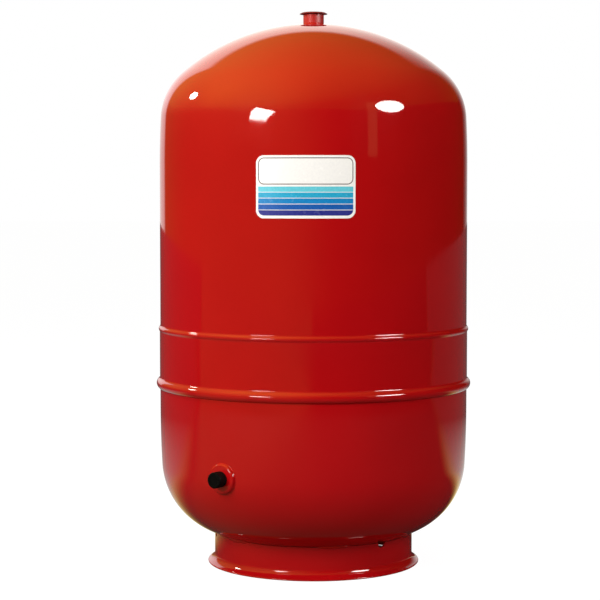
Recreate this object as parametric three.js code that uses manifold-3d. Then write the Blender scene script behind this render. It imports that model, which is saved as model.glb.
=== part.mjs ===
// Floor-standing expansion vessel for heating systems, 150 litre size: a two-part welded steel tank
// with a clamped rubber diaphragm, a threaded water socket on top, an air charging valve low on the
// front and a flared base ring. Millimetres, +Z up. The origin is on the floor on the vessel's axis,
// and the label faces -Y.

import * as THREE from 'three';
import { mergeVertices } from 'three/addons/utils/BufferGeometryUtils.js';
import Module from 'manifold-3d';

const wasm = await Module();
wasm.setup();

// ---------------------------------------------------------------- driving dimensions

const GAP = 0.3; // clearance between neighbouring pieces
const SHEET = 2; // steel sheet of both shells
const ROUND = 40; // facets round the tank
const SMALL_ROUND = 24; // facets round the small turned pieces
const CORE_ROUND = 12; // facets round the valve core's pieces

// tank outline
const TANK_R = 250;
const BAND_R = 251; // upper shell where it is widened to take the lower shell's collar
const LOWER_R = 250.4;

// The drawn ends run from the straight wall into a long shoulder, a knuckle and a crown.
const TOP_END = {
  side: 1,
  bodyR: TANK_R,
  startZ: 647.5,
  shoulderR: 1500,
  shoulderDeg: 3,
  knuckleR: 103.3,
  crownR: 326.6,
  knuckleSteps: 4,
};
const BOTTOM_END = {
  side: -1,
  bodyR: LOWER_R,
  startZ: 257.3,
  shoulderR: 1800,
  shoulderDeg: 3,
  knuckleR: 121.4,
  crownR: 400,
  knuckleSteps: 4,
};

// rolled beads of the upper shell, as arcs of the wall's section
const CLAMP_BEAD = { z: 384, centreR: 247.7, radius: 5, fromDeg: -34, toDeg: 43 };
const HEM_BEAD = { z: 295.5, centreR: 247.3, radius: 9.1, fromDeg: -58, toDeg: 64 };
const BEAD_RUN_OUT = 1; // height over which a bead fades into the wall above it

// collar of the lower shell, inside the upper shell
const COLLAR_R = 248.6;
const COLLAR_TOP_Z = 372;
const COLLAR_BOTTOM_Z = 297;
const JOGGLE_BOTTOM_Z = 291;

// water socket and its transport plug
const SOCKET_R = 16.7;
const SOCKET_BORE_R = 12.1;
const SOCKET_BOTTOM_Z = 872.7;
const SOCKET_RIM_Z = 892.6;
const PLUG_BRIM_R = 22.5;
const PLUG_TOP_Z = 896.1;
const PLUG_BOTTOM_Z = 878;
const PLUG_WALL = 1.8;
const PLUG_TAPER = 0.9; // how much narrower the plug is at its foot
const BRIM_CLEARANCE = 2.1; // height of the brim's underside over the rim
const BRIM_DROOP = 1.7; // how far the brim's edge hangs below its underside
const BRIM_EDGE = 0.5; // thickness of the brim's edge

// rubber diaphragm and the ring that clamps it
const RUBBER = 2.5;
const DIAPHRAGM_R = 244;
const DIAPHRAGM_FOOT_Z = 373;
const DIAPHRAGM_BEAD_R = 4.8;
const CLAMP_RING = { outer: 241.1, inner: 238.1, bottom: 368, top: 400, chamfer: 1 };

// base ring
const SKIRT_R = 162;
const SKIRT_WALL = 3;
const FOOT_FLARE_R = 14;
const FOOT_FLARE_END_DEG = 253; // the flare turns 73 degrees from upright
const FOOT_FLAT = 3; // width of the flat ring the vessel stands on
const UNDERSIDE_END_DEG = 240; // where the flare's underside and its outside stop short of the lip
const OUTSIDE_END_DEG = 235;
const SKIRT_CLEARANCE = 0.7; // gap between the skirt's top and the bottom end
const VENT_R = 7.5;
const VENT_AZIMUTHS = [41.9, 161.9, -78.1];
const VENT_REACH = 20; // a vent's cut starts and ends this far from the skirt's face

// air valve: distances along its own axis are measured from the tank's axis
const VALVE_Z = 166.4;
const VALVE_AZIMUTH = -34.3;
const BOSS_R = 23.7;
const BOSS_FACE = 253;
const BOSS_NECK_R = 14.7;
const BOSS_BACK = 239;
const BOSS_BORE_R = 6;
const BOSS_EDGE_R = 4; // rounding of the pad's rim
const BOSS_CUT = 50; // how far the holes for the valve run past the pad's back
const GASKET_THICKNESS = 1.2;
const STEM_R = 3.85;
const STEM_END = 266;
const STEM_ROOT = 237;
const STEM_BORE_R = 2.75;
const HEX_ACROSS_FLATS = 16;
const HEX_THICKNESS = 3;
const CAP_R = 12.4;
const CAP_END = 270;
const CAP_WALL = 1.6;
const CAP_SLEEVE_R = 5.6;
const CAP_THREAD_R = 4.15;

// labels
const LABEL = { azimuth: -2.8, z: 613.9, width: 151.5, height: 94.6, corner: 12 };
const RATING = { azimuth: 180, z: 470, width: 110, height: 74, corner: 4 };
const LABEL_THICKNESS = 0.25;
const LABEL_CLEARANCE = 0.35;

// ---------------------------------------------------------------- materials

function material(color, roughness, metalness) {
  return new THREE.MeshStandardMaterial({ color, roughness, metalness });
}

const redPaint = material(0xb4161a, 0.2, 0);
const steel = material(0x8d8f92, 0.4, 1);
const rubber = material(0x1b1b1c, 0.75, 0);
const brass = material(0xb08a45, 0.3, 1);
const blackPlastic = material(0x0d0d0e, 0.45, 0);
const plugPlastic = material(0x78181c, 0.45, 0);
const printedFilm = material(0xeef0f2, 0.3, 0);
const silverFoil = material(0xb9bbbd, 0.35, 0.8);

// ---------------------------------------------------------------- geometry helpers

// Points [r, z] on an arc, from one angle to the other in degrees, with the end points.
function arc(centreR, centreZ, radius, fromDeg, toDeg, steps) {
  return Array.from({ length: steps + 1 }, (_, i) => {
    const angle = THREE.MathUtils.degToRad(fromDeg + ((toDeg - fromDeg) * i) / steps);
    return [centreR + radius * Math.cos(angle), centreZ + radius * Math.sin(angle)];
  });
}

// A closed profile of [r, z] points turned about +Z.
function turned(profile, segments) {
  const loop = profile.map(([r, z]) => new THREE.Vector2(Math.max(r, 0), z));
  if (THREE.ShapeUtils.area(loop) < 0) loop.reverse();
  loop.push(loop[0].clone());
  const geometry = new THREE.LatheGeometry(loop, segments);
  return geometry.rotateX(Math.PI / 2);
}

// The same for a solid whose profile starts and ends on the axis.
function turnedSolid(profile, segments) {
  const points = profile.map(([r, z]) => new THREE.Vector2(r, z));
  const geometry = new THREE.LatheGeometry(points, segments);
  return geometry.rotateX(Math.PI / 2);
}

// The shoulder, knuckle and crown of a drawn end, each as [r, z] points from the wall inwards.
// inset moves the outline into the tank, and the crown stops at holeR.
function endArcs(end, inset, holeR, crownSteps) {
  const { side, bodyR, startZ, shoulderR, shoulderDeg, knuckleR, crownR, knuckleSteps } = end;
  const shoulderAngle = THREE.MathUtils.degToRad(shoulderDeg);
  const knuckleCentreR = bodyR - shoulderR + (shoulderR - knuckleR) * Math.cos(shoulderAngle);
  const knuckleCentreZ = startZ + side * (shoulderR - knuckleR) * Math.sin(shoulderAngle);
  const reach = crownR - knuckleR;
  const crownCentreZ = knuckleCentreZ - side * Math.sqrt(reach ** 2 - knuckleCentreR ** 2);
  const junctionDeg = THREE.MathUtils.radToDeg(Math.acos(knuckleCentreR / reach));
  const holeDeg = THREE.MathUtils.radToDeg(Math.acos(holeR / (crownR - inset)));
  const knuckle = [side * shoulderDeg, side * junctionDeg, knuckleSteps];
  return {
    crownCentreZ,
    shoulder: arc(bodyR - shoulderR, startZ, shoulderR - inset, 0, side * shoulderDeg, 1),
    knuckle: arc(knuckleCentreR, knuckleCentreZ, knuckleR - inset, ...knuckle),
    crown: arc(0, crownCentreZ, crownR - inset, side * junctionDeg, side * holeDeg, crownSteps),
  };
}

function endOutline(end, inset, holeR, crownSteps) {
  const { shoulder, knuckle, crown } = endArcs(end, inset, holeR, crownSteps);
  return [...shoulder, ...knuckle.slice(1), ...crown.slice(1)];
}

// A mesh's geometry as a solid that can be cut and joined.
function toSolid(geometry) {
  const bare = geometry.clone();
  bare.deleteAttribute('normal');
  bare.deleteAttribute('uv');
  const merged = mergeVertices(bare, 1e-4);
  const triangles = [];
  for (let i = 0; i < merged.index.count; i += 3) {
    const [a, b, c] = [0, 1, 2].map((k) => merged.index.getX(i + k));
    if (a !== b && b !== c && c !== a) triangles.push(a, b, c);
  }
  return new wasm.Manifold(
    new wasm.Mesh({
      numProp: 3,
      vertProperties: new Float32Array(merged.attributes.position.array),
      triVerts: new Uint32Array(triangles),
    }),
  );
}

function toGeometry(solid) {
  const { vertProperties, triVerts } = solid.getMesh();
  const geometry = new THREE.BufferGeometry();
  geometry.setAttribute('position', new THREE.BufferAttribute(vertProperties, 3));
  geometry.setIndex(new THREE.BufferAttribute(triVerts, 1));
  geometry.computeVertexNormals();
  return geometry;
}

// Points +Z outwards along a level radius at the given azimuth, 0 at the front and positive to the right.
function pointOutwards(object, azimuthDeg) {
  object.rotation.set(Math.PI / 2, 0, 0);
  object.rotation.order = 'ZXY';
  object.rotation.z = THREE.MathUtils.degToRad(azimuthDeg);
  object.updateMatrixWorld(true);
  return object;
}

function outwardMatrix(azimuthDeg, height) {
  const matrix = pointOutwards(new THREE.Object3D(), azimuthDeg).matrixWorld.clone();
  return matrix.setPosition(0, 0, height);
}

// A rod along a level radius, for holes and necks through the shells.
function radialRod(radius, from, to, azimuthDeg, height) {
  const rod = turnedSolid([[0, from], [radius, from], [radius, to], [0, to]], SMALL_ROUND);
  return rod.applyMatrix4(outwardMatrix(azimuthDeg, height));
}

const vessel = new THREE.Group();
const valve = pointOutwards(new THREE.Group(), VALVE_AZIMUTH);
valve.position.z = VALVE_Z;
vessel.add(valve);

function addPiece(parent, name, geometry, finish) {
  const mesh = new THREE.Mesh(geometry, finish);
  mesh.name = name;
  parent.add(mesh);
}

// ---------------------------------------------------------------- steel shells

function beadArc({ z, centreR, radius, fromDeg, toDeg }, inset, steps) {
  return arc(centreR, z, radius - inset, fromDeg, toDeg, steps);
}

// One face of the upper shell from the hem's free edge to the rim of the socket hole.
function upperShellFace(inset) {
  return [
    ...beadArc(HEM_BEAD, inset, 4),
    [BAND_R - inset, HEM_BEAD.z + HEM_BEAD.radius + BEAD_RUN_OUT],
    [BAND_R - inset, CLAMP_BEAD.z - CLAMP_BEAD.radius],
    ...beadArc(CLAMP_BEAD, inset, 3),
    [TANK_R - inset, CLAMP_BEAD.z + CLAMP_BEAD.radius + BEAD_RUN_OUT],
    ...endOutline(TOP_END, inset, SOCKET_R + GAP, 3),
  ];
}

// A hole for the valve, through the lower shell or its pad.
function valveHole(radius) {
  return toSolid(radialRod(radius, BOSS_BACK - BOSS_CUT, BOSS_BACK + BOSS_CUT, VALVE_AZIMUTH, VALVE_Z));
}

addPiece(
  vessel,
  'upper_shell',
  turned([...upperShellFace(0), ...upperShellFace(SHEET).reverse()], ROUND),
  redPaint,
);

// One face of the lower shell from the collar's rim to the axis.
function lowerShellFace(inset) {
  return [
    [COLLAR_R - inset, COLLAR_TOP_Z],
    [COLLAR_R - inset, COLLAR_BOTTOM_Z],
    [LOWER_R - inset, JOGGLE_BOTTOM_Z],
    ...endOutline(BOTTOM_END, inset, 0, 4),
  ];
}

const lowerShell = toSolid(
  turnedSolid([...lowerShellFace(0).reverse(), ...lowerShellFace(SHEET)], ROUND),
).subtract(valveHole(BOSS_NECK_R + GAP));

addPiece(vessel, 'lower_shell', toGeometry(lowerShell), redPaint);

// ---------------------------------------------------------------- diaphragm and clamp ring

// The diaphragm follows the upper shell. Its rigid crown starts above the shoulder.
function diaphragmArcs(inset) {
  return endArcs(TOP_END, TANK_R - DIAPHRAGM_R + inset, 0, 3);
}

function diaphragmCrown(inset) {
  const { knuckle, crown } = diaphragmArcs(inset);
  return [...knuckle, ...crown.slice(1)];
}

addPiece(
  vessel,
  'diaphragm_crown',
  turnedSolid([...diaphragmCrown(RUBBER).reverse(), ...diaphragmCrown(0)], ROUND),
  rubber,
);

// The wall has a round bead that sits in the groove of the upper shell's clamping bead.
const rubberBead = arc(DIAPHRAGM_R, CLAMP_BEAD.z, DIAPHRAGM_BEAD_R, -90, 90, 4);
const [, [shoulderEndR, shoulderEndZ]] = diaphragmArcs(0).shoulder;

addPiece(
  vessel,
  'diaphragm_wall',
  turned(
    [
      [DIAPHRAGM_R - RUBBER, DIAPHRAGM_FOOT_Z],
      [DIAPHRAGM_R, DIAPHRAGM_FOOT_Z],
      ...rubberBead,
      [DIAPHRAGM_R, TOP_END.startZ],
      [shoulderEndR, shoulderEndZ - GAP],
      [shoulderEndR - RUBBER, shoulderEndZ - GAP],
      [DIAPHRAGM_R - RUBBER, TOP_END.startZ],
    ],
    ROUND,
  ),
  rubber,
);

addPiece(
  vessel,
  'clamp_ring',
  turned(
    [
      [CLAMP_RING.inner, CLAMP_RING.bottom + CLAMP_RING.chamfer],
      [CLAMP_RING.inner + CLAMP_RING.chamfer, CLAMP_RING.bottom],
      [CLAMP_RING.outer, CLAMP_RING.bottom],
      [CLAMP_RING.outer, CLAMP_RING.top],
      [CLAMP_RING.inner + CLAMP_RING.chamfer, CLAMP_RING.top],
      [CLAMP_RING.inner, CLAMP_RING.top - CLAMP_RING.chamfer],
    ],
    ROUND,
  ),
  steel,
);

// ---------------------------------------------------------------- water socket and plug

addPiece(
  vessel,
  'connection_socket',
  turned(
    [
      [SOCKET_BORE_R, SOCKET_BOTTOM_Z],
      [SOCKET_R, SOCKET_BOTTOM_Z],
      [SOCKET_R, SOCKET_RIM_Z],
      [SOCKET_BORE_R, SOCKET_RIM_Z],
    ],
    SMALL_ROUND,
  ),
  redPaint,
);

// The brim is a shallow umbrella: it clears the socket's rim and droops to it outside.
const brimUnderside = SOCKET_RIM_Z + BRIM_CLEARANCE;
const brimEdge = brimUnderside - BRIM_DROOP;
const plugTopR = SOCKET_BORE_R - GAP;
const plugBottomR = plugTopR - PLUG_TAPER;

addPiece(
  vessel,
  'transport_plug',
  turnedSolid(
    [
      [0, PLUG_BOTTOM_Z],
      [plugBottomR - 1, PLUG_BOTTOM_Z],
      [plugBottomR, PLUG_BOTTOM_Z + 1],
      [plugTopR, SOCKET_RIM_Z],
      [plugTopR, brimUnderside],
      [SOCKET_R + 0.6, brimUnderside],
      [PLUG_BRIM_R - 0.8, brimEdge],
      [PLUG_BRIM_R, brimEdge + BRIM_EDGE],
      [SOCKET_R + 1.2, PLUG_TOP_Z - 0.1],
      [SOCKET_R - 2, PLUG_TOP_Z],
      [plugTopR - PLUG_WALL, PLUG_TOP_Z],
      [plugBottomR - PLUG_WALL, PLUG_BOTTOM_Z + PLUG_WALL],
      [0, PLUG_BOTTOM_Z + PLUG_WALL],
    ],
    SMALL_ROUND,
  ),
  plugPlastic,
);

// ---------------------------------------------------------------- base ring

// Height of the bottom end's outside at a given distance from the axis, on its crown.
function bottomCrownZ(r) {
  const { crownCentreZ } = endArcs(BOTTOM_END, 0, 0, 1);
  return crownCentreZ - Math.sqrt(BOTTOM_END.crownR ** 2 - r ** 2);
}

// The flare's middle line ends at the centre of the foot's rounded lip.
const skirtInnerR = SKIRT_R - SKIRT_WALL;
const lipR = SKIRT_WALL / 2;
const flareCentreR = SKIRT_R + FOOT_FLARE_R;
const flareEnd = THREE.MathUtils.degToRad(FOOT_FLARE_END_DEG);
const lipCentreR = flareCentreR + (FOOT_FLARE_R + lipR) * Math.cos(flareEnd);
const flareCentreZ = lipR - (FOOT_FLARE_R + lipR) * Math.sin(flareEnd);

const skirt = toSolid(
  turned(
    [
      [skirtInnerR, bottomCrownZ(skirtInnerR) - SKIRT_CLEARANCE],
      ...arc(flareCentreR, flareCentreZ, FOOT_FLARE_R + SKIRT_WALL, 180, UNDERSIDE_END_DEG, 3),
      [lipCentreR - FOOT_FLAT, 0],
      ...arc(lipCentreR, lipR, lipR, -90, FOOT_FLARE_END_DEG - 180, 3),
      ...arc(flareCentreR, flareCentreZ, FOOT_FLARE_R, OUTSIDE_END_DEG, 180, 3),
      [SKIRT_R, bottomCrownZ(SKIRT_R) - SKIRT_CLEARANCE],
    ],
    ROUND,
  ),
);
const ventHeight = bottomCrownZ(SKIRT_R) - SKIRT_CLEARANCE;
function ventCut(azimuth) {
  return toSolid(radialRod(VENT_R, SKIRT_R - VENT_REACH, SKIRT_R + VENT_REACH, azimuth, ventHeight));
}

const ventedSkirt = VENT_AZIMUTHS.reduce((ring, azimuth) => ring.subtract(ventCut(azimuth)), skirt);

addPiece(vessel, 'base_ring', toGeometry(ventedSkirt), redPaint);

// ---------------------------------------------------------------- air valve

// The pad's back follows the tank, and its neck passes through the shell.
const envelopeTop = BOTTOM_END.startZ + 5;
const tankEnvelope = toSolid(
  turnedSolid(
    [...endOutline(BOTTOM_END, -GAP, 0, 3).reverse(), [LOWER_R + GAP, envelopeTop], [0, envelopeTop]],
    ROUND * 2,
  ),
);
const padBlank = turnedSolid(
  [
    [0, BOSS_BACK],
    [BOSS_R, BOSS_BACK],
    ...arc(BOSS_R - BOSS_EDGE_R, BOSS_FACE - BOSS_EDGE_R, BOSS_EDGE_R, 0, 90, 3),
    [0, BOSS_FACE],
  ],
  2 * SMALL_ROUND,
).applyMatrix4(outwardMatrix(VALVE_AZIMUTH, VALVE_Z));
const boss = toSolid(padBlank)
  .subtract(tankEnvelope)
  .add(toSolid(radialRod(BOSS_NECK_R, BOSS_BACK, BOSS_FACE - 1, VALVE_AZIMUTH, VALVE_Z)))
  .subtract(valveHole(BOSS_BORE_R));

addPiece(vessel, 'valve_boss', toGeometry(boss), redPaint);

const gasketBack = BOSS_FACE + GAP;
const hexBack = gasketBack + GASKET_THICKNESS + GAP;
const hexFront = hexBack + HEX_THICKNESS;

addPiece(
  valve,
  'stem_gasket',
  turned(
    [
      [BOSS_BORE_R + GAP, gasketBack],
      [HEX_ACROSS_FLATS / 2 + 1, gasketBack],
      [HEX_ACROSS_FLATS / 2 + 1, gasketBack + GASKET_THICKNESS],
      [BOSS_BORE_R + GAP, gasketBack + GASKET_THICKNESS],
    ],
    SMALL_ROUND,
  ),
  rubber,
);

// The stem's bore is wide where the core sits and narrow below it.
const stemShankR = BOSS_BORE_R - 0.4;
const coreFloor = STEM_END - 12;
const narrowBoreR = 1.7;
const stemBody = turned(
  [
    [narrowBoreR, STEM_ROOT],
    [stemShankR, STEM_ROOT],
    [stemShankR, hexBack + 1],
    [STEM_R, hexFront - 1],
    [STEM_R, STEM_END - 0.6],
    [STEM_R - 0.6, STEM_END],
    [STEM_BORE_R, STEM_END],
    [STEM_BORE_R, coreFloor],
    [narrowBoreR, coreFloor - 1],
  ],
  SMALL_ROUND,
);
const hexRadius = HEX_ACROSS_FLATS / Math.sqrt(3);
const hexBlank = turned(
  [
    [STEM_BORE_R + 1, hexBack],
    [hexRadius, hexBack],
    [hexRadius, hexFront - 0.5],
    [hexRadius - 0.7, hexFront],
    [STEM_BORE_R + 1, hexFront],
  ],
  6,
);

addPiece(valve, 'valve_stem', toGeometry(toSolid(stemBody).add(toSolid(hexBlank))), brass);

// valve core: barrel with its sealing sleeve, and the pin with its rubber seat and spring
const CORE_TOP = STEM_END - 0.8;
const CORE_BOTTOM = CORE_TOP - 7.8;
const CORE_SHOULDER = CORE_TOP - 3.6;
const CORE_HEAD_R = 2.5;
const CORE_BARREL_R = 1.95;
const SPRING_SEAT = CORE_TOP - 6.2;
const SPRING_TOP = CORE_TOP - 0.9;
const SPRING_R = 1.12;
const SPRING_WIRE_R = 0.16;
const SPRING_TURNS = 6;
const PIN_R = 0.5;
const PIN_COLLAR_R = 1.35;
const PIN_CUP_R = 1.5;

addPiece(
  valve,
  'valve_core_barrel',
  turned(
    [
      [PIN_R + 0.25, CORE_BOTTOM],
      [CORE_BARREL_R, CORE_BOTTOM],
      [CORE_BARREL_R, CORE_SHOULDER],
      [CORE_HEAD_R, CORE_SHOULDER + 0.3],
      [CORE_HEAD_R, CORE_TOP],
      [PIN_COLLAR_R + 0.2, CORE_TOP],
      [PIN_COLLAR_R + 0.2, SPRING_SEAT],
      [PIN_R + 0.25, SPRING_SEAT],
    ],
    CORE_ROUND,
  ),
  brass,
);

addPiece(
  valve,
  'valve_core_seal',
  turned(
    [
      [CORE_BARREL_R + 0.12, CORE_BOTTOM + 1.6],
      [STEM_BORE_R - 0.15, CORE_BOTTOM + 1.9],
      [STEM_BORE_R - 0.15, CORE_SHOULDER - 0.9],
      [CORE_BARREL_R + 0.12, CORE_SHOULDER - 0.5],
    ],
    CORE_ROUND,
  ),
  rubber,
);

const cupTop = CORE_BOTTOM - 1.1;
addPiece(
  valve,
  'valve_core_pin',
  turnedSolid(
    [
      [0, cupTop - 2.6],
      [PIN_R, cupTop - 2.4],
      [PIN_R, cupTop - 0.7],
      [PIN_CUP_R, cupTop - 0.7],
      [PIN_CUP_R, cupTop],
      [PIN_R, cupTop],
      [PIN_R, SPRING_TOP + 0.15],
      [PIN_COLLAR_R, SPRING_TOP + 0.15],
      [PIN_COLLAR_R, SPRING_TOP + 0.55],
      [PIN_R, SPRING_TOP + 0.55],
      [PIN_R, STEM_END - 0.3],
      [0, STEM_END - 0.1],
    ],
    CORE_ROUND,
  ),
  brass,
);

addPiece(
  valve,
  'valve_core_washer',
  turned(
    [
      [PIN_R + 0.12, cupTop + 0.12],
      [PIN_CUP_R + 0.2, cupTop + 0.12],
      [PIN_CUP_R + 0.2, CORE_BOTTOM - 0.35],
      [PIN_R + 0.45, CORE_BOTTOM - 0.12],
      [PIN_R + 0.12, CORE_BOTTOM - 0.12],
    ],
    CORE_ROUND,
  ),
  rubber,
);

class SpringCurve extends THREE.Curve {
  getPoint(t, target = new THREE.Vector3()) {
    const angle = 2 * Math.PI * SPRING_TURNS * t;
    const low = SPRING_SEAT + SPRING_WIRE_R + 0.1;
    const high = SPRING_TOP - SPRING_WIRE_R;
    return target.set(SPRING_R * Math.cos(angle), SPRING_R * Math.sin(angle), low + (high - low) * t);
  }
}

const wireSection = new THREE.Shape().absarc(0, 0, SPRING_WIRE_R, 0, 2 * Math.PI);
addPiece(
  valve,
  'valve_core_spring',
  new THREE.ExtrudeGeometry(wireSection, {
    curveSegments: 2,
    steps: 8 * SPRING_TURNS,
    bevelEnabled: false,
    extrudePath: new SpringCurve(),
  }),
  steel,
);

// The cap is a hood with a threaded sleeve that screws on the stem.
const capFloor = CAP_END - CAP_WALL;
addPiece(
  valve,
  'protective_cap',
  turnedSolid(
    [
      [0, capFloor],
      [CAP_THREAD_R, capFloor],
      [CAP_THREAD_R, hexFront + GAP],
      [CAP_SLEEVE_R, hexFront + GAP],
      [CAP_SLEEVE_R, capFloor],
      [CAP_R - CAP_WALL, capFloor],
      [CAP_R - CAP_WALL, BOSS_FACE + GAP],
      [CAP_R, BOSS_FACE + GAP],
      [CAP_R, CAP_END - 1.4],
      [CAP_R - 0.4, CAP_END - 0.4],
      [CAP_R - 1.4, CAP_END],
      [0, CAP_END],
    ],
    SMALL_ROUND,
  ),
  blackPlastic,
);

addPiece(
  valve,
  'cap_seal',
  turned(
    [
      [PIN_R + 0.9, STEM_END + GAP],
      [CAP_THREAD_R - GAP, STEM_END + GAP],
      [CAP_THREAD_R - GAP, capFloor - GAP],
      [PIN_R + 0.9, capFloor - GAP],
    ],
    SMALL_ROUND,
  ),
  rubber,
);

// ---------------------------------------------------------------- labels

// A thin sheet wrapped round the tank, with rounded corners.
function wrappedLabel({ azimuth, z, width, height, corner }) {
  const [w, h] = [width / 2, height / 2];
  const outline = new THREE.Shape();
  outline.moveTo(w, corner - h);
  outline.absarc(w - corner, h - corner, corner, 0, Math.PI / 2);
  outline.absarc(corner - w, h - corner, corner, Math.PI / 2, Math.PI);
  outline.absarc(corner - w, corner - h, corner, Math.PI, 1.5 * Math.PI);
  outline.absarc(w - corner, corner - h, corner, 1.5 * Math.PI, 2 * Math.PI);
  const cutter = new THREE.ExtrudeGeometry(outline, { depth: TANK_R, curveSegments: 5, bevelEnabled: false });
  cutter.translate(0, 0, TANK_R / 2);
  cutter.applyMatrix4(outwardMatrix(azimuth, z));
  const innerR = TANK_R + LABEL_CLEARANCE;
  const outerR = innerR + LABEL_THICKNESS;
  const sleeve = turned(
    [[innerR, z - height], [outerR, z - height], [outerR, z + height], [innerR, z + height]],
    ROUND,
  );
  return toGeometry(toSolid(sleeve).intersect(toSolid(cutter)));
}

addPiece(vessel, 'front_label', wrappedLabel(LABEL), printedFilm);
addPiece(vessel, 'rating_label', wrappedLabel(RATING), silverFoil);

export default vessel;
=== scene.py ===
"""Floor-standing expansion vessel in a plain pale studio. Lengths in the shape tables are millimetres."""

import math

import bmesh
import bpy
from mathutils import Matrix, Vector


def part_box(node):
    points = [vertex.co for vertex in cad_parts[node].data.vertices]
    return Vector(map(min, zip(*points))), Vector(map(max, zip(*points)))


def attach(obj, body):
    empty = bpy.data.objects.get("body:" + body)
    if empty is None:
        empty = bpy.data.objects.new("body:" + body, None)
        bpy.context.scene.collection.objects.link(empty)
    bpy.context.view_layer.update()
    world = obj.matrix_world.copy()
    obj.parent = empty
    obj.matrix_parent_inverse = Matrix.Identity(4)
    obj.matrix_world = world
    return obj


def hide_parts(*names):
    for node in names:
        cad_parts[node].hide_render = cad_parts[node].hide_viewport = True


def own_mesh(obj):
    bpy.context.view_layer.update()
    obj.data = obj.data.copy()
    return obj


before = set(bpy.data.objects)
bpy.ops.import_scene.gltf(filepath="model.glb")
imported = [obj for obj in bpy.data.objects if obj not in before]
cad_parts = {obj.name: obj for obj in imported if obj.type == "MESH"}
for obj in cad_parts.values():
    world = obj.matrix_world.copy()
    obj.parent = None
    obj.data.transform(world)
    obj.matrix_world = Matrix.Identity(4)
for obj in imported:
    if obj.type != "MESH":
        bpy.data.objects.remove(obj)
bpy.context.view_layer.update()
MM = 0.001
TURN = 2 * math.pi

# ---------- sizes, in millimetres

SHEET = 2.0
TANK_R = 250.0
BAND_R = 251.0
LOWER_R = 250.4
CLAMP_BEAD = {"r": 247.7, "z": 384.0, "radius": 5.0, "fillet": 5.0}
HEM_BEAD = {"r": 247.28, "z": 295.5, "radius": 9.1, "fillet": 5.0}
HEM_EDGE = -58.0  # degrees round the hem's section, where its free edge is
VALVE_AZIMUTH = -34.3
THREAD_G34 = {"pitch": 1.814, "depth": 1.0}
THREAD_8V1 = {"pitch": 0.794, "depth": 0.42}
AXIS_R = 0.02  # an outline that closes on the axis stops this far from it
FINE_AXIS_R = 0.01  # the same for cutters and the valve's pin


def node_box(name):
    """A CAD node's lowest and highest corners, in millimetres."""
    low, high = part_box(name)
    return low / MM, high / MM


SOCKET_LOW, SOCKET_HIGH = node_box("connection_socket")
SOCKET_R = SOCKET_HIGH.x
SOCKET_BORE_R = 12.1
PLUG_LOW, PLUG_HIGH = node_box("transport_plug")
CAP_LOW, CAP_HIGH = node_box("protective_cap")
VALVE_Z = (CAP_LOW.z + CAP_HIGH.z) / 2
CAP_R = (CAP_HIGH.z - CAP_LOW.z) / 2

# ---------- camera

CAMERA_DISTANCE = 3.0
CAMERA_HEIGHT = 0.6145
CAMERA_PITCH = -3.54  # degrees
CAMERA_YAW = 0.42  # degrees, which puts the vessel a little right of the middle
CAMERA_LENS = 110.13


def make_camera():
    data = bpy.data.cameras.new("camera")
    data.lens = CAMERA_LENS
    data.sensor_width = 36.0
    camera = bpy.data.objects.new("camera", data)
    camera.location = (0.0, -CAMERA_DISTANCE, CAMERA_HEIGHT)
    camera.rotation_euler = (math.radians(90 + CAMERA_PITCH), 0.0, math.radians(CAMERA_YAW))
    bpy.context.scene.collection.objects.link(camera)
    bpy.context.scene.camera = camera


make_camera()

# ---------- mesh helpers


def arc(centre_r, centre_z, radius, start, end, steps):
    """Points (r, z) on an arc between two angles in degrees, ends included."""
    angles = [math.radians(start + (end - start) * i / steps) for i in range(steps + 1)]
    return [(centre_r + radius * math.cos(a), centre_z + radius * math.sin(a)) for a in angles]


def line(start, end, steps):
    """Points (r, z) on a straight stretch, without its start."""
    return [
        (start[0] + (end[0] - start[0]) * i / steps, start[1] + (end[1] - start[1]) * i / steps)
        for i in range(1, steps + 1)
    ]


def band(inner, outer, low, high):
    """The four corners of a ring's rectangular section."""
    return [(inner, low), (outer, low), (outer, high), (inner, high)]


def same(first, second):
    """Whether two radii of an outline are equal."""
    return abs(first - second) < 1e-6


def rounded(points, radius=0.5, steps=3):
    """A closed outline whose corners are replaced by small arcs."""
    result = []
    count = len(points)
    for i in range(count):
        before, here, after = (Vector(points[(i + k) % count]) for k in (-1, 0, 1))
        to_before, to_after = before - here, after - here
        size = min(radius, to_before.length * 0.45, to_after.length * 0.45)
        start = here + to_before.normalized() * size
        end = here + to_after.normalized() * size
        for k in range(steps + 1):
            t = k / steps
            point = start.lerp(here, t).lerp(here.lerp(end, t), t)
            result.append((point.x, point.y))
    return result


def new_object(name, mesh, material):
    mesh.materials.append(material)
    piece = bpy.data.objects.new(name, mesh)
    bpy.context.scene.collection.objects.link(piece)
    return piece


def shade(mesh, sharp_degrees=35):
    mesh.polygons.foreach_set("use_smooth", [True] * len(mesh.polygons))
    mesh.set_sharp_from_angle(angle=math.radians(sharp_degrees))


def to_mesh(name, bm):
    mesh = bpy.data.meshes.new(name)
    bm.to_mesh(mesh)
    bm.free()
    return mesh


def finish_mesh(name, bm, material, sharp_degrees=35):
    bmesh.ops.remove_doubles(bm, verts=bm.verts, dist=1e-7)
    bmesh.ops.recalc_face_normals(bm, faces=bm.faces)
    mesh = to_mesh(name, bm)
    shade(mesh, sharp_degrees)
    return new_object(name, mesh, material)


def around(radius, angle, z):
    """A point in metres at an angle round the vessel's axis. Angle 0 is the front."""
    return (radius * math.sin(angle) * MM, -radius * math.cos(angle) * MM, z * MM)


def bridge(bm, rings):
    """Joins each ring of vertices to the next one with quads."""
    for a, b in zip(rings, rings[1:]):
        for k in range(len(a)):
            n = (k + 1) % len(a)
            bm.faces.new((a[k], a[n], b[n], b[k]))


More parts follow.
